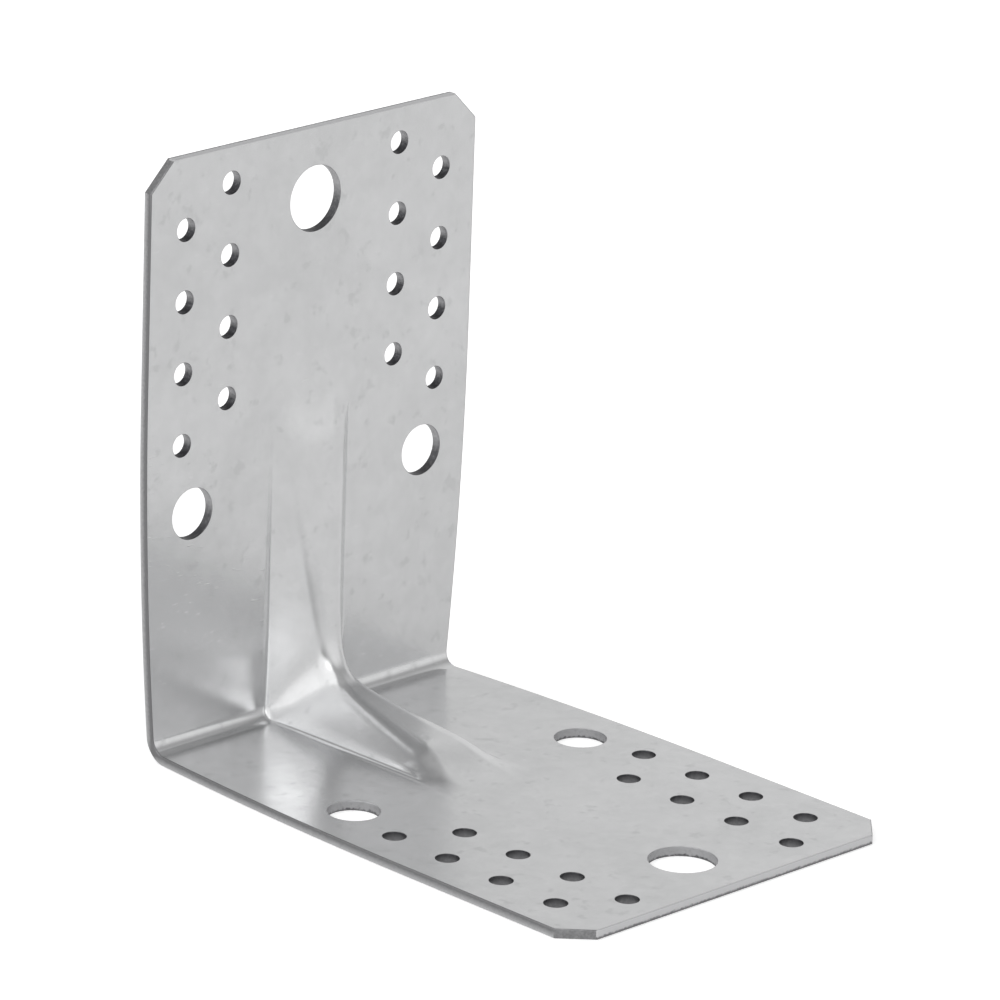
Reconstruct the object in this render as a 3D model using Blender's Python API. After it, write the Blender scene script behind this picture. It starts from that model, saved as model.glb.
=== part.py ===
"""Reinforced angle bracket, one piece of pressed galvanised sheet steel.

Two equal legs meet at a right-angled bend. A hollow stiffening rib is pressed through the bend
and runs out on both legs. Both legs carry the same pattern of round fixing holes.

Units are metres and +Z is up. The upright leg stands at the back (+Y), the other leg lies on the
ground and points forward (-Y). The origin is on the ground under the middle of the footprint.
"""
import math

import bmesh
import bpy
import numpy as np

# Sheet
SHEET = 0.002
WIDTH = 0.089
LEG = 0.126
BEND_RADIUS = 0.003
CORNER_CUT = 0.006

# The sides are drawn in towards the bend when the rib is pressed
DRAW_IN = 0.0035
DRAW_LENGTH = 0.075

# Rib: cross-section on the visible side; the crown gets narrower and sharper as the rib gets higher
RIB_WIDTH = 0.023
CROWN_FLAT = 0.0018
CROWN_FLAT_LOSS = 0.10
CROWN_RADIUS = 0.007
CROWN_RADIUS_LOSS = 0.20
FOOT_RADIUS = 0.0018

# Rib: crest height at the bend, its fall on each leg, and the curve that rounds off the bend under the rib
CREST_HEIGHT = 0.0097
CREST_FALL_UP = 0.22
CREST_FALL_ALONG = 0.165
CREST_ROUNDING = 0.017
CREST_CURVE = 0.0105
CREST_EASE = 0.7
CREST_SOFTNESS = 0.0022
RUN_OUT_UP = (0.050, 0.074)
RUN_OUT_ALONG = (0.038, 0.060)

# Fixing holes: distance from the side, diameter, and rows counted in steps from the free edge
HOLE_STEP = 0.0075
NAIL_HOLE = 0.005
BOLT_HOLE = 0.011
LARGE_HOLE = 0.014
HOLES = (
    (0.0095, NAIL_HOLE, (2, 4, 6, 8)),
    (0.0215, NAIL_HOLE, (1, 3, 5, 7)),
    (0.0125, BOLT_HOLE, (10,)),
    (WIDTH / 2, LARGE_HOLE, (2,)),
)

# Fineness of the surface: rows across the sheet, closer together near the bend, and steps within a row
BEND_ROWS = 8
RIB_ROWS = 23
ROW_CROWDING = 1.25
CROWN_STEPS = 4
FLANK_STEPS = 2
FOOT_STEPS = 3
LEAST_SPREAD = math.radians(25)
PLAIN_MARGIN = 0.0005
HOLE_SIDES = {NAIL_HOLE: 16, BOLT_HOLE: 28, LARGE_HOLE: 32}
SHARP_EDGE = math.radians(40)

# Values that follow from the ones above
INNER_LEG = LEG - SHEET
HALF_BEND = BEND_RADIUS * math.pi / 4
RIB_HALF = RIB_WIDTH / 2
RIB_REACH = max(RUN_OUT_UP[1], RUN_OUT_ALONG[1])
LEG_END = INNER_LEG - BEND_RADIUS + HALF_BEND
PUNCH_ABOVE = SHEET
PUNCH_BELOW = 2 * SHEET


def to_world(x, along, up):
    """Place a point given from the inner faces: along the lying leg and up the standing one."""
    return (x, LEG / 2 - SHEET - along, SHEET + up)


def smooth_step(value, start, end):
    """Go from 0 at the start to 1 at the end, level at both."""
    t = min(max((value - start) / (end - start), 0), 1)
    return t * t * (3 - 2 * t)


def drawn_in(x, distance):
    """Shift a point of the flat sheet towards the rib, most at the bend and at the sheet's side."""
    pull = DRAW_IN * max(0, 1 - distance / DRAW_LENGTH) ** 2
    share = max(0, abs(x) - RIB_HALF) / (WIDTH / 2 - RIB_HALF)
    return x - math.copysign(pull * share, x)


def base_point(s):
    """Point (along, up) of the inner face, at the distance s from the middle of the bend."""
    if abs(s) > HALF_BEND:
        far = abs(s) - HALF_BEND + BEND_RADIUS
        return (0, far) if s > 0 else (far, 0)
    turn = math.pi / 4 + s / BEND_RADIUS
    return (BEND_RADIUS * (1 - math.sin(turn)), BEND_RADIUS * (1 - math.cos(turn)))


def crest_height(s):
    """Height of the rib's crest over the sheet, measured at 45 degrees to the legs."""
    fade = 1 - smooth_step(s, *RUN_OUT_UP) - smooth_step(-s, *RUN_OUT_ALONG)
    fall = CREST_FALL_UP if s > 0 else CREST_FALL_ALONG
    height = CREST_HEIGHT - fall * (math.hypot(s, CREST_ROUNDING) - CREST_ROUNDING)
    return fade * (height + math.hypot(height, CREST_SOFTNESS)) / 2


def crown_form(height):
    """Half width of the crown's flat middle and radius of its rounded sides, at a height of the rib."""
    return (CROWN_FLAT - CROWN_FLAT_LOSS * height, CROWN_RADIUS - CROWN_RADIUS_LOSS * height)


def flank_angle(height):
    """Slope of the straight flank between the foot fillet and the rounded crown."""
    flat, radius = crown_form(height)
    radii = FOOT_RADIUS + radius
    width = RIB_HALF - flat
    slope = math.asin(radii / math.hypot(width, radii - height)) - math.atan2(radii - height, width)
    return max(0, slope)


def rib_rise(x, height):
    """Height of the rib's cross-section at the distance x from its middle."""
    flat, radius = crown_form(height)
    flank = flank_angle(height)
    crown_edge = flat + radius * math.sin(flank)
    foot_edge = RIB_HALF - FOOT_RADIUS * math.sin(flank)
    if x <= flat:
        return height
    if x <= crown_edge:
        return height - radius + math.sqrt(radius ** 2 - (x - flat) ** 2)
    if x < foot_edge:
        return FOOT_RADIUS * (1 - math.cos(flank)) + (foot_edge - x) * math.tan(flank)
    return FOOT_RADIUS - math.sqrt(FOOT_RADIUS ** 2 - max(0, RIB_HALF - x) ** 2)


def rib_columns(height):
    """Distances from the rib's middle at which its cross-section gets points, going outwards."""
    flat, radius = crown_form(height)
    spread = max(flank_angle(height), LEAST_SPREAD)
    crown = [flat + radius * math.sin(spread * i / CROWN_STEPS) for i in range(CROWN_STEPS + 1)]
    foot = [RIB_HALF - FOOT_RADIUS * math.sin(spread * i / FOOT_STEPS) for i in range(FOOT_STEPS, -1, -1)]
    flank = list(np.linspace(crown[-1], foot[0], FLANK_STEPS + 1)[1:-1])
    return [0.0] + crown + flank + foot + [RIB_HALF + PLAIN_MARGIN]


def sheet_point(s, x, rise):
    """Point of the visible side: the rib rises at 45 degrees and rounds off the bend as it rises."""
    along, up = base_point(s)
    curve = math.hypot(s, CREST_CURVE)
    share = (rise / CREST_HEIGHT) ** CREST_EASE
    along += share * ((curve - s) / 2 - along) + rise * math.sqrt(0.5)
    up += share * ((curve + s) / 2 - up) + rise * math.sqrt(0.5)
    return to_world(x, along, up)


def row_points(s, half_width=None):
    """One row of points across the sheet, from the left side to the right side."""
    height = crest_height(s)
    edge = drawn_in(WIDTH / 2, max(base_point(s))) if half_width is None else half_width
    half = [(x, rib_rise(x, height)) for x in rib_columns(height)] + [(edge, 0.0)]
    across = [(-x, rise) for x, rise in reversed(half[1:])] + half
    return [sheet_point(s, x, rise) for x, rise in across]


def row_distances():
    """Distances from the middle of the bend at which the sheet gets a row, on one leg."""
    reach = RIB_REACH - BEND_RADIUS
    rib_rows = [HALF_BEND + reach * (i / RIB_ROWS) ** ROW_CROWDING for i in range(RIB_ROWS + 1)]
    return sorted(rib_rows + [DRAW_LENGTH, LEG_END - CORNER_CUT])


def build_sheet():
    """Lay the rows as a grid of faces and give it the thickness of the sheet behind the inner face."""
    outer = row_distances()
    bend = [HALF_BEND * (2 * i / BEND_ROWS - 1) for i in range(1, BEND_ROWS)]
    rows = [row_points(s) for s in [-d for d in reversed(outer)] + bend + outer]
    free_edge = WIDTH / 2 - CORNER_CUT
    rows = [row_points(-LEG_END, free_edge)] + rows + [row_points(LEG_END, free_edge)]
    mesh = bpy.data.meshes.new("angle_bracket")
    bm = bmesh.new()
    grid = [[bm.verts.new(point) for point in row] for row in rows]
    for low, high in zip(grid, grid[1:]):
        for i in range(len(low) - 1):
            bm.faces.new((low[i], low[i + 1], high[i + 1], high[i]))
    bm.to_mesh(mesh)
    bm.free()
    sheet = bpy.data.objects.new("angle_bracket", mesh)
    bpy.context.collection.objects.link(sheet)
    thickness = sheet.modifiers.new("thickness", "SOLIDIFY")
    thickness.thickness = SHEET
    thickness.offset = -1
    return sheet


def add_cylinder(bm, centre, axis, diameter):
    """Add a cutting cylinder through the sheet at a point of the inner face."""
    sides = HOLE_SIDES[diameter]
    other = (1, 0, 0)
    third = np.cross(axis, other)
    rings = []
    for depth in (PUNCH_ABOVE, -PUNCH_BELOW):
        ring = []
        for i in range(sides):
            angle = 2 * math.pi * (i + 0.5) / sides
            offset = diameter / 2 * (math.cos(angle) * np.array(other) + math.sin(angle) * third)
            ring.append(bm.verts.new(np.array(centre) + offset + depth * np.array(axis)))
        rings.append(ring)
    for i in range(sides):
        j = (i + 1) % sides
        bm.faces.new((rings[0][i], rings[1][i], rings[1][j], rings[0][j]))
    bm.faces.new(rings[0])
    bm.faces.new(list(reversed(rings[1])))


def build_hole_cutter():
    """All fixing holes of both legs as one cutting object; a hole on the middle line is made once."""
    bm = bmesh.new()
    for from_side, diameter, rows in HOLES:
        for row in rows:
            distance = INNER_LEG - row * HOLE_STEP
            offset = drawn_in(WIDTH / 2 - from_side, distance)
            for x in {offset, -offset}:
                add_cylinder(bm, to_world(x, 0, distance), (0, -1, 0), diameter)
                add_cylinder(bm, to_world(x, distance, 0), (0, 0, 1), diameter)
    bmesh.ops.recalc_face_normals(bm, faces=bm.faces)
    mesh = bpy.data.meshes.new("fixing_holes")
    bm.to_mesh(mesh)
    bm.free()
    cutter = bpy.data.objects.new("fixing_holes", mesh)
    bpy.context.collection.objects.link(cutter)
    return cutter


def galvanised_steel():
    material = bpy.data.materials.new("galvanised_steel")
    material.use_nodes = True
    shader = material.node_tree.nodes["Principled BSDF"]
    shader.inputs["Base Color"].default_value = (0.56, 0.57, 0.58, 1)
    shader.inputs["Metallic"].default_value = 1.0
    shader.inputs["Roughness"].default_value = 0.38
    return material


def punch_holes(sheet, cutter):
    """Cut the holes, keep the result as the sheet's mesh and shade it smooth but for its sharp edges."""
    holes = sheet.modifiers.new("fixing_holes", "BOOLEAN")
    holes.object = cutter
    holes.operation = "DIFFERENCE"
    holes.solver = "EXACT"
    depsgraph = bpy.context.evaluated_depsgraph_get()
    mesh = bpy.data.meshes.new_from_object(sheet.evaluated_get(depsgraph))
    sheet.modifiers.clear()
    sheet.data = mesh
    mesh.shade_smooth()
    mesh.set_sharp_from_angle(angle=SHARP_EDGE)


for old in list(bpy.data.objects):
    bpy.data.objects.remove(old, do_unlink=True)

bracket = build_sheet()
bracket.data.materials.append(galvanised_steel())
hole_cutter = build_hole_cutter()
punch_holes(bracket, hole_cutter)
bpy.data.objects.remove(hole_cutter, do_unlink=True)
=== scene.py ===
"""The reinforced angle bracket as it looks: fine pressed sheet, galvanised finish, plain studio.

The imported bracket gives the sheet's outer size. The sheet, its holes and its edges are laid out again
here by the same rules, but finer, and with the rounding that shearing and punching leave. The rib is
laid out by its crest and cross-section as before, with the shape of its crown followed more closely.
Units are metres and +Z is up. The upright leg stands at the back (+Y), the other leg points to -Y.
A distance s runs along the sheet from the middle of the bend, up the upright leg where it is positive.
"""

import math

import bmesh
import bpy
import numpy as np
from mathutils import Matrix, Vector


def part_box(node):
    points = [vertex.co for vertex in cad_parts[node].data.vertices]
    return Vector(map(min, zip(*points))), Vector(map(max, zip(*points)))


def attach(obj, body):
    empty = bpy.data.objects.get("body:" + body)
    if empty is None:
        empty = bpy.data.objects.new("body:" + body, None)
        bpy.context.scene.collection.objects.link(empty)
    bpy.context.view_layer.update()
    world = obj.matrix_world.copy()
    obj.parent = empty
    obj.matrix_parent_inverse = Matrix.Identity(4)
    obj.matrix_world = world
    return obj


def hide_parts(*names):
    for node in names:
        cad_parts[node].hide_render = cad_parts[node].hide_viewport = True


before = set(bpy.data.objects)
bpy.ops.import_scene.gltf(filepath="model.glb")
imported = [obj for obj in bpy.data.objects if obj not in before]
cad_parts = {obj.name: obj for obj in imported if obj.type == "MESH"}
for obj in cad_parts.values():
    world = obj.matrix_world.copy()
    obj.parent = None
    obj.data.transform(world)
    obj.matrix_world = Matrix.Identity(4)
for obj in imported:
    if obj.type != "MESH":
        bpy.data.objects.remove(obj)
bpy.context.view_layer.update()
cad_low, cad_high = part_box("angle_bracket")

# Sheet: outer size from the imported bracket
SHEET = 0.002
WIDTH = cad_high[0] - cad_low[0]
LEG = cad_high[2] - cad_low[2]
BACK = cad_high[1]
BEND_RADIUS = 0.003
CORNER_CUT = 0.006
EDGE_ROUNDING = 0.00025

# The sides are drawn in towards the bend
DRAW_IN = 0.0035
DRAW_LENGTH = 0.075

# Rib: cross-section on the visible side. The crown gets narrower and sharper as the rib gets higher.
# Pairs are for the lying leg and the upright one; the section changes over near the bend. The crown's
# radius stays under a share of the largest one that fits between the feet, so that a flank remains.
RIB_WIDTH = 0.023
CROWN_FLAT = (0.0061, 0.0053)
CROWN_FLAT_LOSS = 0.53
CROWN_RADIUS = (0.0100, 0.0112)
CROWN_RADIUS_LOSS = (0.64, 0.71)
CROWN_CHANGE = 0.010
LEAST_FLAT = 0.0001
LEAST_RADIUS = 0.001
FULLEST_CROWN = 0.97
FOOT_RADIUS = 0.0019
FLANK_SWELL = 0.0001
FULL_SWELL_HEIGHT = 0.006

# Rib: crest height, the distance s at which it is highest, how far it leans to the right, its fall on
# each leg, and the distances between which it runs out into the legs
CREST_HEIGHT = 0.0094
CREST_MIDDLE = 0.004
CREST_SHIFT = 0.0007
CREST_FALL_UP = 0.13
CREST_FALL_ALONG = 0.15
CREST_ROUNDING = 0.0176
CREST_SOFTNESS = 0.0005
RUN_OUT_UP = (0.054, 0.0765)
RUN_OUT_ALONG = (0.032, 0.058)

# Curve that rounds off the bend under the rib: its size at the rib's foot and at its crest
FOOT_CURVE = 0.004
CREST_CURVE = 0.0087
CURVE_EASE = 1.8
CURVE_LIFT = 0.0014

# Fixing holes: distance from the side, diameter, and rows counted in steps from the free edge
HOLE_STEP = 0.0075
NAIL_HOLE = 0.005
BOLT_HOLE = 0.011
LARGE_HOLE = 0.014
HOLES = (
    (0.0095, NAIL_HOLE, (2, 4, 6, 8)),
    (0.0215, NAIL_HOLE, (1, 3, 5, 7)),
    (0.0125, BOLT_HOLE, (10,)),
    (WIDTH / 2, LARGE_HOLE, (2,)),
)
RIM_ROUNDING = 0.00015
RIM_FLARE = 1.3
RIM_START = math.radians(15)
RIM_STEPS = 4
HOLE_SIDES = 72

# Fineness of the surface
BEND_ROWS = 24
RIB_ROWS = 96
ROW_CROWDING = 1.25
CROWN_STEPS = 12
FLANK_STEPS = 5
FOOT_STEPS = 8
PLAIN_STEPS = 8
LEAST_SPREAD = math.radians(25)
PLAIN_MARGIN = 0.0005
EDGE_SEGMENTS = 3
ROUNDED_ANGLE = math.radians(50)
SHARP_ANGLE = math.radians(40)

# Values that follow from the ones above
INNER_LEG = LEG - SHEET
HALF_BEND = BEND_RADIUS * math.pi / 4
RIB_HALF = RIB_WIDTH / 2
RIB_REACH = max(RUN_OUT_UP[1], RUN_OUT_ALONG[1])
LEG_END = INNER_LEG - BEND_RADIUS + HALF_BEND

# Places of the edges and walls in the bracket's list of materials
EDGE_PLACE = 1
WIDE_PLACE = 2
NARROW_PLACE = 3

# The part of a noise texture's range that is used
NOISE_LOW = 0.3
NOISE_HIGH = 0.7

# Zinc: colours of its lightest and darkest tone, cells per metre of each pattern, and how far each
# pattern moves the tone to either side
ZINC_LIGHT = (0.720, 0.722, 0.728, 1)
ZINC_DARK = (0.600, 0.604, 0.608, 1)
ZINC_TONES = 1.5
ZINC_ROUGHNESS = 0.22
ROUGHNESS_CHANGE = 0.04
DRIFT_CELLS = 35.0
DRIFT_TONE = 0.35
CLOUD_CELLS = 170.0
CLOUD_TONE = 0.55
CRYSTAL_CELLS = 500.0
CRYSTAL_TONE = 0.2
SPOT_CELLS = 320.0
SPOT_LEVELS = (0.62, 0.74)
SPOT_TONE = 1.6
SCRATCH_CELLS = 550.0
SCRATCH_STRETCH = (0.7, 4.0, 4.0)
SCRATCH_LEVELS = (0.70, 0.76)
SCRATCH_TONE = 0.8

# Relief of the zinc: strength of the effect and height
CLOUD_RELIEF = (0.5, 0.00004)
SCRATCH_RELIEF = (0.3, 0.00003)
WAVE_RELIEF = (1.0, 0.00006)
WAVE_CELLS = 45.0

# Sheared edges: where in the sheet's depth the tone goes from dark to light, on the sides and the free ends.
# On the sides the dark band along the visible face is painted shade, and the lighter rest is the cut's own
# tone.
EDGE_LIGHT = (0.62, 0.62, 0.63, 1)
EDGE_DARK = (0.22, 0.22, 0.225, 1)
EDGE_ROUGHNESS = 0.45
EDGE_CELLS = 1800.0
EDGE_RAGGED = 0.08
EDGE_RELIEF = (0.5, 0.0001)
SIDE_SHADE_DEPTHS = (0.25, 1.0)
END_DEPTHS = (0.80, 0.62)
# Painted shade on the cut corners: their tone runs only over the darkest quarter of the edge's range
CORNER_SHADE_TONES = (0.0, 0.25)

# Walls of the wide holes and of the nail holes, with painted shade. In the lying leg the painted shade goes
# from one value to another between two depths; in the upright leg it grows as the wall faces up. The nail
# holes' walls are painted darker, as shade of their narrow opening.
WIDE_LIGHT = (0.46, 0.46, 0.47, 1)
WIDE_DARK = (0.09, 0.09, 0.095, 1)
WIDE_SHADE = (0.72, 0.90, 0.0, 0.75)
NARROW_LIGHT = (0.42, 0.42, 0.43, 1)
NARROW_DARK = (0.06, 0.06, 0.065, 1)
NARROW_SHADE = (0.10, 0.70, 0.9, 0.35)
WALL_FACING = (-0.3, 0.35)
WALL_ROUGHNESS = 0.5
WALL_CELLS = 1500.0
WALL_RAGGED = 0.12
WALL_TONE = 0.15
WALL_RELIEF = (0.6, 0.00015)

# Floor
FLOOR_HALF_SIZE = 6
FLOOR_DROP = 0.0001
FLOOR_WHITE = 0.8
FLOOR_GLOW_SEEN = 0.5
FLOOR_GLOW_REFLECTED = 0.17

# Room: even light, more of it from above, and soft round lights, each with its direction round the
# object (degrees from the back towards the right), its height, its outer and inner reach and its strength
ROOM_LIGHT = 0.28
CEILING_LIGHT = 0.25
SOFT_LIGHTS = (
    (-104, 27, 47, 43, 0.95),
    (156, 0, 54, 17, 0.66),
    (73, 12, 51, 7, 0.53),
    (-149, 28, 18, 3, 0.85),
    (-54, 26, 20, 16, 1.68),
)

# Camera
CAMERA_PLACE = (-0.994130, -0.984563, 0.546914)
CAMERA_TURN = (70.921, -1.912, -44.446)
CAMERA_LENS = 270.42


def to_world(x, along, up):
    """Place a point given from the inner faces: along the lying leg and up the standing one."""
    return (x, BACK - SHEET - along, SHEET + up)


def smooth_step(value, start, end):
    """Go smoothly from 0 to 1 while the value goes from start to end."""
    t = min(max((value - start) / (end - start), 0), 1)
    return t * t * (3 - 2 * t)


def drawn_in(x, distance):
    """Shift a point of the flat sheet towards the rib, most at the bend and at the sheet's side."""
    pull = DRAW_IN * max(0, 1 - distance / DRAW_LENGTH) ** 2
    share = max(0, abs(x) - RIB_HALF) / (WIDTH / 2 - RIB_HALF)
    return x - math.copysign(pull * share, x)


def base_point(s):
    """Point (along, up) of the inner face, at the distance s from the middle of the bend."""
    if abs(s) > HALF_BEND:
        far = abs(s) - HALF_BEND + BEND_RADIUS
        return (0, far) if s > 0 else (far, 0)
    turn = math.pi / 4 + s / BEND_RADIUS
    return (BEND_RADIUS * (1 - math.sin(turn)), BEND_RADIUS * (1 - math.cos(turn)))


def crest_height(s):
    """Height of the rib's crest over the sheet, measured at 45 degrees to the legs."""
    fade = 1 - smooth_step(s, *RUN_OUT_UP) - smooth_step(-s, *RUN_OUT_ALONG)
    fall = CREST_FALL_UP if s > CREST_MIDDLE else CREST_FALL_ALONG
    height = CREST_HEIGHT - fall * (math.hypot(s - CREST_MIDDLE, CREST_ROUNDING) - CREST_ROUNDING)
    return fade * (height + math.hypot(height, CREST_SOFTNESS)) / 2


def between(first, second, share):
    """Value at a share of the way from the first to the second."""
    return first + (second - first) * share


def crown_form(s, height):
    """Half width of the crown's flat middle and radius of its rounded sides, at a height of the rib."""
    upright = smooth_step(s, -CROWN_CHANGE, CROWN_CHANGE)
    flat = max(LEAST_FLAT, between(*CROWN_FLAT, upright) - CROWN_FLAT_LOSS * height)
    radius = between(*CROWN_RADIUS, upright) - between(*CROWN_RADIUS_LOSS, upright) * height
    widest = ((RIB_HALF - flat) ** 2 + height ** 2) / (2 * max(height, LEAST_FLAT)) - FOOT_RADIUS
    return (flat, max(LEAST_RADIUS, min(radius, FULLEST_CROWN * widest)))


def flank_angle(s, height):
    """Slope of the straight flank between the foot fillet and the rounded crown."""
    flat, radius = crown_form(s, height)
    radii = FOOT_RADIUS + radius
    width = RIB_HALF - flat
    slope = math.asin(radii / math.hypot(width, radii - height)) - math.atan2(radii - height, width)
    return max(0, slope)


def rib_rise(s, x, height):
    """Height of the rib's cross-section at the distance x from its middle."""
    flat, radius = crown_form(s, height)
    flank = flank_angle(s, height)
    crown_edge = flat + radius * math.sin(flank)
    foot_edge = RIB_HALF - FOOT_RADIUS * math.sin(flank)
    if x <= flat:
        return height
    if x <= crown_edge:
        return height - radius + math.sqrt(radius ** 2 - (x - flat) ** 2)
    if x < foot_edge:
        down = (x - crown_edge) / (foot_edge - crown_edge)
        swell = FLANK_SWELL * 4 * down * (1 - down) * min(1, height / FULL_SWELL_HEIGHT)
        return FOOT_RADIUS * (1 - math.cos(flank)) + (foot_edge - x) * math.tan(flank) + swell
    return FOOT_RADIUS - math.sqrt(FOOT_RADIUS ** 2 - max(0, RIB_HALF - x) ** 2)


def rib_columns(s, height):
    """Distances from the rib's middle at which its cross-section gets points, going outwards."""
    flat, radius = crown_form(s, height)
    spread = max(flank_angle(s, height), LEAST_SPREAD)
    crown = [flat + radius * math.sin(spread * i / CROWN_STEPS) for i in range(CROWN_STEPS + 1)]
    foot = [RIB_HALF - FOOT_RADIUS * math.sin(spread * i / FOOT_STEPS) for i in range(FOOT_STEPS, -1, -1)]
    flank = list(np.linspace(crown[-1], foot[0], FLANK_STEPS + 1)[1:-1])
    return [0.0, flat / 2] + crown + flank + foot + [RIB_HALF + PLAIN_MARGIN]


def sheet_point(s, x, rise):
    """Point of the visible side: the rib rises at 45 degrees and rounds off the bend as it rises."""
    along, up = base_point(s)
    share = min(1, max(rise, 0) / CREST_HEIGHT)
    middle = s - CREST_MIDDLE * share
    curve = math.hypot(middle, between(FOOT_CURVE, CREST_CURVE, share ** CURVE_EASE))
    lift = smooth_step(rise, 0, CURVE_LIFT)
    along += lift * ((curve - middle) / 2 - along) + rise * math.sqrt(0.5)
    up += lift * ((curve + middle) / 2 - up) + rise * math.sqrt(0.5)
    return to_world(x + CREST_SHIFT * share, along, up)


def row_points(s, half_width=None):
    """One row of points across the sheet, from the left side to the right side."""
    height = crest_height(s)
    edge = drawn_in(WIDTH / 2, max(base_point(s))) if half_width is None else half_width
    columns = rib_columns(s, height)
    half = [(x, rib_rise(s, x, height)) for x in columns]
    half += [(x, 0.0) for x in np.linspace(columns[-1], edge, PLAIN_STEPS + 1)[1:]]
    across = [(-x, rise) for x, rise in reversed(half[1:])] + half
    return [sheet_point(s, x, rise) for x, rise in across]


def row_distances():
    """Distances from the middle of the bend at which the sheet gets a row, on one leg."""
    reach = RIB_REACH - BEND_RADIUS
    rib_rows = [HALF_BEND + reach * (i / RIB_ROWS) ** ROW_CROWDING for i in range(RIB_ROWS + 1)]
    return rib_rows + list(np.linspace(RIB_REACH, LEG_END - CORNER_CUT, PLAIN_STEPS)[1:])


def new_piece(name, bm):
    """Turn a finished bmesh into an object of the scene."""
    mesh = bpy.data.meshes.new(name)
    bm.to_mesh(mesh)
    bm.free()
    piece = bpy.data.objects.new(name, mesh)
    bpy.context.collection.objects.link(piece)
    return piece


def build_sheet():
    """Lay the rows as a grid of faces, thicken it behind the inner face and round its free edges."""
    outer = row_distances()
    bend = [HALF_BEND * (2 * i / BEND_ROWS - 1) for i in range(1, BEND_ROWS)]
    rows = [row_points(s) for s in [-d for d in reversed(outer)] + bend + outer]
    free_edge = WIDTH / 2 - CORNER_CUT
    rows = [row_points(-LEG_END, free_edge)] + rows + [row_points(LEG_END, free_edge)]
    bm = bmesh.new()
    grid = [[bm.verts.new(point) for point in row] for row in rows]
    for low, high in zip(grid, grid[1:]):
        for i in range(len(low) - 1):
            bm.faces.new((low[i], low[i + 1], high[i + 1], high[i]))
    sheet = new_piece("pressed_sheet", bm)
    thickness = sheet.modifiers.new("thickness", "SOLIDIFY")
    thickness.thickness = SHEET
    thickness.offset = -1
    thickness.material_offset_rim = EDGE_PLACE
    rounding = sheet.modifiers.new("rounding", "BEVEL")
    rounding.width = EDGE_ROUNDING
    rounding.segments = EDGE_SEGMENTS
    rounding.limit_method = "ANGLE"
    rounding.angle_limit = ROUNDED_ANGLE
    rounding.material = EDGE_PLACE
    return sheet


def punch_profile(diameter):
    """Height over the sheet and radius, down a punch that leaves a rounded rim of the given diameter."""
    wall = diameter / 2 - RIM_ROUNDING
    profile = [(RIM_ROUNDING / 2, wall + RIM_FLARE * RIM_ROUNDING)]
    for i in range(RIM_STEPS + 1):
        turn = between(RIM_START, math.pi / 2, i / RIM_STEPS)
        profile.append((RIM_ROUNDING * (math.cos(turn) - 1), wall + RIM_ROUNDING * (1 - math.sin(turn))))
    return profile + [(-2 * SHEET, wall)]


def add_punch(bm, centre, axis, diameter):
    """Add a cutting punch through the sheet at a point of its inner face."""
    across = np.array((1.0, 0.0, 0.0))
    third = np.cross(axis, across)
    rings = []
    for height, radius in punch_profile(diameter):
        ring = []
        for i in range(HOLE_SIDES):
            angle = 2 * math.pi * (i + 0.5) / HOLE_SIDES
            offset = radius * (math.cos(angle) * across + math.sin(angle) * third)
            ring.append(bm.verts.new(np.array(centre) + offset + height * np.array(axis)))
        rings.append(ring)
    for upper, lower in zip(rings, rings[1:]):
        for i in range(HOLE_SIDES):
            j = (i + 1) % HOLE_SIDES
            wall = bm.faces.new((upper[i], lower[i], lower[j], upper[j]))
            wall.material_index = NARROW_PLACE if diameter == NAIL_HOLE else WIDE_PLACE
    bm.faces.new(rings[0])
    bm.faces.new(list(reversed(rings[-1])))


def build_punches():
    """All fixing holes of both legs as one cutting object."""
    bm = bmesh.new()
    for from_side, diameter, rows in HOLES:
        for row in rows:
            distance = INNER_LEG - row * HOLE_STEP
            offset = drawn_in(WIDTH / 2 - from_side, distance)
            for x in {offset, -offset}:
                add_punch(bm, to_world(x, 0, distance), (0, -1, 0), diameter)
                add_punch(bm, to_world(x, distance, 0), (0, 0, 1), diameter)
    bmesh.ops.recalc_face_normals(bm, faces=bm.faces)
    return new_piece("punches", bm)


def finish_bracket(sheet, punches, materials):
    """Punch the holes, keep the result as the mesh and shade it smooth but for its sharp edges."""
    for material in materials:
        sheet.data.materials.append(material)
        punches.data.materials.append(material)
    punch = sheet.modifiers.new("punch", "BOOLEAN")
    punch.object = punches
    punch.operation = "DIFFERENCE"
    punch.solver = "EXACT"
    depsgraph = bpy.context.evaluated_depsgraph_get()
    mesh = bpy.data.meshes.new_from_object(sheet.evaluated_get(depsgraph))
    sheet.modifiers.clear()
    sheet.data = mesh
    bpy.data.objects.remove(punches, do_unlink=True)
    mesh.shade_smooth()
    mesh.set_sharp_from_angle(angle=SHARP_ANGLE)
    weighted = sheet.modifiers.new("weighted", "WEIGHTED_NORMAL")
    weighted.keep_sharp = True


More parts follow.
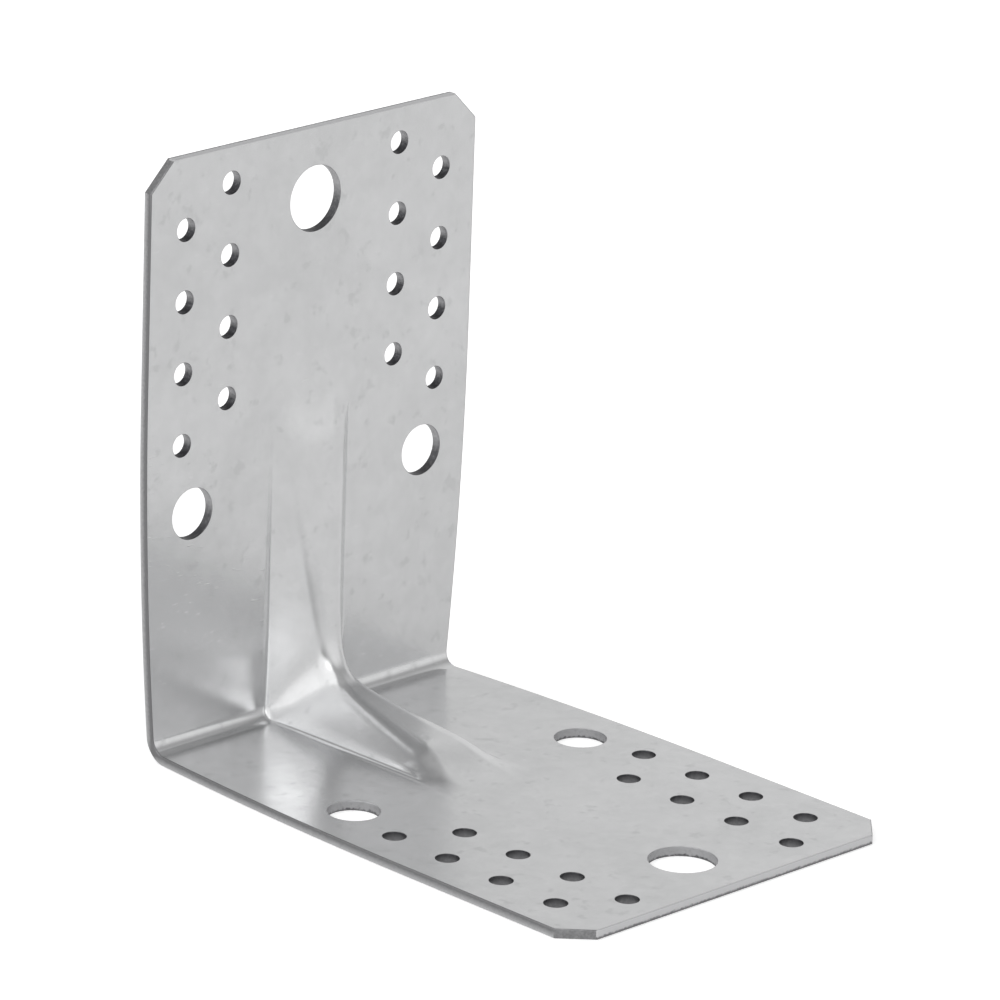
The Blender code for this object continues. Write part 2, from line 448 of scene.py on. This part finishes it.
class Nodes:
    """A node tree with short calls for adding nodes and joining them."""

    def __init__(self, tree):
        self.tree = tree

    def add(self, kind, **inputs):
        """Add a node; an input is a number, a colour or another node's output."""
        node = self.tree.nodes.new(kind)
        for key, value in inputs.items():
            self.put(node, key.replace("_", " "), value)
        return node

    def put(self, node, key, value):
        """Set an input, given by name or number, to a value or join it to another node's output."""
        socket = node.inputs[int(key)] if key.isdigit() else node.inputs[key]
        if isinstance(value, bpy.types.NodeSocket):
            self.tree.links.new(value, socket)
        else:
            socket.default_value = value

    def math(self, operation, first, second=0.0):
        """Work out one value from two."""
        node = self.tree.nodes.new("ShaderNodeMath")
        node.operation = operation
        self.put(node, "0", first)
        self.put(node, "1", second)
        return node.outputs[0]

    def spread(self, value, low, high, to_low=0.0, to_high=1.0):
        """Map a value's range from low to high onto another range, held at its ends."""
        node = self.tree.nodes.new("ShaderNodeMapRange")
        ends = {"Value": value, "From Min": low, "From Max": high, "To Min": to_low, "To Max": to_high}
        for key, number in ends.items():
            self.put(node, key, number)
        return node.outputs["Result"]

    def noise(self, place, cells, **inputs):
        """A soft random value at each place, with a number of cells per metre."""
        return self.add("ShaderNodeTexNoise", Vector=place, Scale=cells, **inputs).outputs["Fac"]

    def vary(self, noise, reach):
        """Map a noise onto a range from -reach to +reach."""
        return self.spread(noise, NOISE_LOW, NOISE_HIGH, -reach, reach)

    def relief(self, height, strength_and_height, normal=None):
        """Tilt the surface by a height, over the tilt that it has already."""
        strength, distance = strength_and_height
        node = self.add("ShaderNodeBump", Height=height, Strength=strength, Distance=distance)
        if normal is not None:
            self.put(node, "Normal", normal)
        return node.outputs["Normal"]

    def choose(self, choice, first, second):
        """The first value where the choice is 0, the second where it is 1."""
        return self.add("ShaderNodeMix", Factor=choice, A=first, B=second).outputs["Result"]

    def mix(self, factor, first, second):
        """Mix two colours, at the node's colour inputs and output."""
        node = self.add("ShaderNodeMix", Factor=factor)
        node.data_type = "RGBA"
        self.put(node, "6", first)
        self.put(node, "7", second)
        return node.outputs[2]


def new_material(name):
    """A plain metal, its nodes and its shader."""
    material = bpy.data.materials.new(name)
    material.use_nodes = True
    shader = material.node_tree.nodes["Principled BSDF"]
    shader.inputs["Metallic"].default_value = 1.0
    return material, Nodes(material.node_tree), shader


def galvanised_finish():
    """Zinc coat: light grey and half mirror, with clouds, faint crystals, dull spots and short scratches."""
    material, n, shader = new_material("galvanised_finish")
    place = n.add("ShaderNodeTexCoord").outputs["Object"]
    crystals = n.add("ShaderNodeTexVoronoi", Vector=place, Scale=CRYSTAL_CELLS).outputs["Color"]
    crystal = n.add("ShaderNodeSeparateColor", Color=crystals).outputs["Red"]
    drift = n.noise(place, DRIFT_CELLS, Detail=1.0)
    clouds = n.noise(place, CLOUD_CELLS, Detail=4.0, Roughness=0.6)
    spots = n.noise(place, SPOT_CELLS, Detail=2.0)
    stretched = n.add("ShaderNodeMapping", Vector=place, Scale=SCRATCH_STRETCH).outputs["Vector"]
    scratch = n.spread(n.noise(stretched, SCRATCH_CELLS, Detail=1.0), *SCRATCH_LEVELS)
    tone = n.spread(crystal, 0.0, 1.0, -CRYSTAL_TONE, CRYSTAL_TONE)
    tone = n.math("ADD", tone, n.vary(clouds, CLOUD_TONE))
    tone = n.math("ADD", tone, n.vary(drift, DRIFT_TONE))
    tone = n.math("SUBTRACT", tone, n.math("MULTIPLY", n.spread(spots, *SPOT_LEVELS), SPOT_TONE))
    tone = n.math("ADD", tone, n.math("MULTIPLY", scratch, SCRATCH_TONE))
    n.put(shader, "Base Color", n.mix(n.spread(tone, -ZINC_TONES, ZINC_TONES), ZINC_DARK, ZINC_LIGHT))
    dullest = ZINC_ROUGHNESS + ROUGHNESS_CHANGE
    glossiest = ZINC_ROUGHNESS - ROUGHNESS_CHANGE
    n.put(shader, "Roughness", n.spread(tone, -ZINC_TONES, ZINC_TONES, dullest, glossiest))
    relief = n.relief(clouds, CLOUD_RELIEF)
    relief = n.relief(scratch, SCRATCH_RELIEF, relief)
    relief = n.relief(n.noise(place, WAVE_CELLS, Detail=1.0), WAVE_RELIEF, relief)
    n.put(shader, "Normal", relief)
    return material


def depth_in_sheet(n, place):
    """Depth under the visible side as a share of the sheet, 0 at the inner face and 1 at the outer one."""
    behind = n.math("SUBTRACT", place["Y"], float(BACK - SHEET))
    below = n.math("SUBTRACT", SHEET, place["Z"])
    return n.math("DIVIDE", n.math("MAXIMUM", behind, below), SHEET)


def sheared_edge_and_shade():
    """Cut sides of the sheet: dark near one face and light near the other, the sides' dark band being
    painted shade, and the cut corners painted grey as shade.
    """
    material, n, shader = new_material("sheared_edge_and_shade")
    point = n.add("ShaderNodeTexCoord").outputs["Object"]
    place = n.add("ShaderNodeSeparateXYZ", Vector=point).outputs
    front = n.math("SUBTRACT", place["Y"], float(cad_low[1]))
    top = n.math("SUBTRACT", float(cad_high[2]), place["Z"])
    to_end = n.math("MINIMUM", front, top)
    end = n.math("LESS_THAN", to_end, EDGE_ROUNDING)
    # Painted shade: the edge within the corner cut's distance of the free ends gets a dark grey tone
    painted_shade_corner = n.math("SUBTRACT", n.math("LESS_THAN", to_end, CORNER_CUT), end)
    ragged = n.noise(point, EDGE_CELLS, Detail=3.0)
    depth = n.math("ADD", depth_in_sheet(n, place), n.vary(ragged, EDGE_RAGGED))
    tone = n.choose(end, n.spread(depth, *SIDE_SHADE_DEPTHS), n.spread(depth, *END_DEPTHS))
    tone = n.choose(painted_shade_corner, tone, n.spread(ragged, NOISE_LOW, NOISE_HIGH, *CORNER_SHADE_TONES))
    n.put(shader, "Base Color", n.mix(tone, EDGE_DARK, EDGE_LIGHT))
    n.put(shader, "Roughness", EDGE_ROUGHNESS)
    n.put(shader, "Normal", n.relief(ragged, EDGE_RELIEF))
    return material


def punched_wall(name, light, dark, lying_shade):
    """Walls of holes, grey and scored, with painted shade: by their depth in the lying leg, by their facing
    upright.
    """
    material, n, shader = new_material(name)
    point = n.add("ShaderNodeTexCoord").outputs["Object"]
    place = n.add("ShaderNodeSeparateXYZ", Vector=point).outputs
    normal = n.add("ShaderNodeNewGeometry").outputs["Normal"]
    facing = n.add("ShaderNodeSeparateXYZ", Vector=normal).outputs
    scored = n.noise(point, WALL_CELLS, Detail=4.0)
    depth = n.math("ADD", depth_in_sheet(n, place), n.vary(scored, WALL_RAGGED))
    upright = n.math("GREATER_THAN", place["Z"], 2 * SHEET)
    # Painted shade: set by depth in the lying leg and by which way the wall faces in the upright one
    shade = n.choose(upright, n.spread(depth, *lying_shade), n.spread(facing["Z"], *WALL_FACING))
    tone = n.math("ADD", shade, n.vary(scored, WALL_TONE))
    n.put(shader, "Base Color", n.mix(n.spread(tone, 0.0, 1.0), light, dark))
    n.put(shader, "Roughness", WALL_ROUGHNESS)
    n.put(shader, "Normal", n.relief(scored, WALL_RELIEF))
    return material


def floor_material():
    """White floor that shows white and keeps the object's shadow."""
    material = bpy.data.materials.new("floor_white")
    material.use_nodes = True
    n = Nodes(material.node_tree)
    n.tree.nodes.remove(n.tree.nodes["Principled BSDF"])
    path = n.add("ShaderNodeLightPath").outputs
    seen = n.math("MAXIMUM", path["Is Camera Ray"], path["Is Transmission Ray"])
    reflected = n.math("MULTIPLY", path["Is Glossy Ray"], FLOOR_GLOW_REFLECTED)
    level = n.math("MAXIMUM", n.math("MULTIPLY", seen, FLOOR_GLOW_SEEN), reflected)
    paint = n.add("ShaderNodeBsdfDiffuse", Color=(FLOOR_WHITE, FLOOR_WHITE, FLOOR_WHITE, 1))
    glow = n.add("ShaderNodeEmission", Strength=level)
    both = n.tree.nodes.new("ShaderNodeAddShader")
    n.put(both, "0", paint.outputs[0])
    n.put(both, "1", glow.outputs[0])
    n.tree.links.new(both.outputs[0], n.tree.nodes["Material Output"].inputs["Surface"])
    return material


def build_floor():
    """Wide plain floor, just under the bracket."""
    bm = bmesh.new()
    bmesh.ops.create_grid(bm, x_segments=1, y_segments=1, size=FLOOR_HALF_SIZE)
    floor = new_piece("floor", bm)
    floor.location.z = -FLOOR_DROP
    floor.data.materials.append(floor_material())
    return floor


def build_world():
    """Plain studio: an even room with large soft lights, shown white behind the object."""
    world = bpy.data.worlds.new("studio")
    bpy.context.scene.world = world
    world.use_nodes = True
    n = Nodes(world.node_tree)
    way = n.add("ShaderNodeTexCoord").outputs["Generated"]
    height = n.add("ShaderNodeSeparateXYZ", Vector=way).outputs["Z"]
    light = n.math("ADD", ROOM_LIGHT, n.math("MULTIPLY", n.math("MAXIMUM", height, 0.0), CEILING_LIGHT))
    for *angles, strength in SOFT_LIGHTS:
        turn, tilt, outer, inner = [math.radians(angle) for angle in angles]
        centre = (math.cos(tilt) * math.sin(turn), math.cos(tilt) * math.cos(turn), math.sin(tilt))
        near = n.tree.nodes.new("ShaderNodeVectorMath")
        near.operation = "DOT_PRODUCT"
        n.put(near, "0", way)
        n.put(near, "1", centre)
        glow = n.spread(near.outputs["Value"], math.cos(outer), math.cos(inner), 0.0, strength)
        glow.node.interpolation_type = "SMOOTHSTEP"
        light = n.math("ADD", light, glow)
    seen = n.add("ShaderNodeLightPath").outputs["Is Camera Ray"]
    background = n.tree.nodes["Background"]
    n.put(background, "Color", (1, 1, 1, 1))
    n.put(background, "Strength", n.choose(seen, light, 1.0))


def build_camera():
    """Camera at the angle from which the bracket is shown."""
    camera = bpy.data.objects.new("camera", bpy.data.cameras.new("camera"))
    camera.location = CAMERA_PLACE
    camera.rotation_euler = [math.radians(angle) for angle in CAMERA_TURN]
    camera.data.lens = CAMERA_LENS
    bpy.context.collection.objects.link(camera)
    bpy.context.scene.camera = camera


materials = (
    galvanised_finish(),
    sheared_edge_and_shade(),
    # Both hole walls carry painted shade; the nail holes' walls are painted darker as shade of their narrow
    # opening
    punched_wall("wide_wall", WIDE_LIGHT, WIDE_DARK, WIDE_SHADE),
    punched_wall("narrow_wall", NARROW_LIGHT, NARROW_DARK, NARROW_SHADE),
)
bracket = build_sheet()
finish_bracket(bracket, build_punches(), materials)
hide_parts("angle_bracket")
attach(bracket, "root")

build_floor()
build_world()
build_camera()
bpy.context.scene.view_settings.view_transform = "Standard"
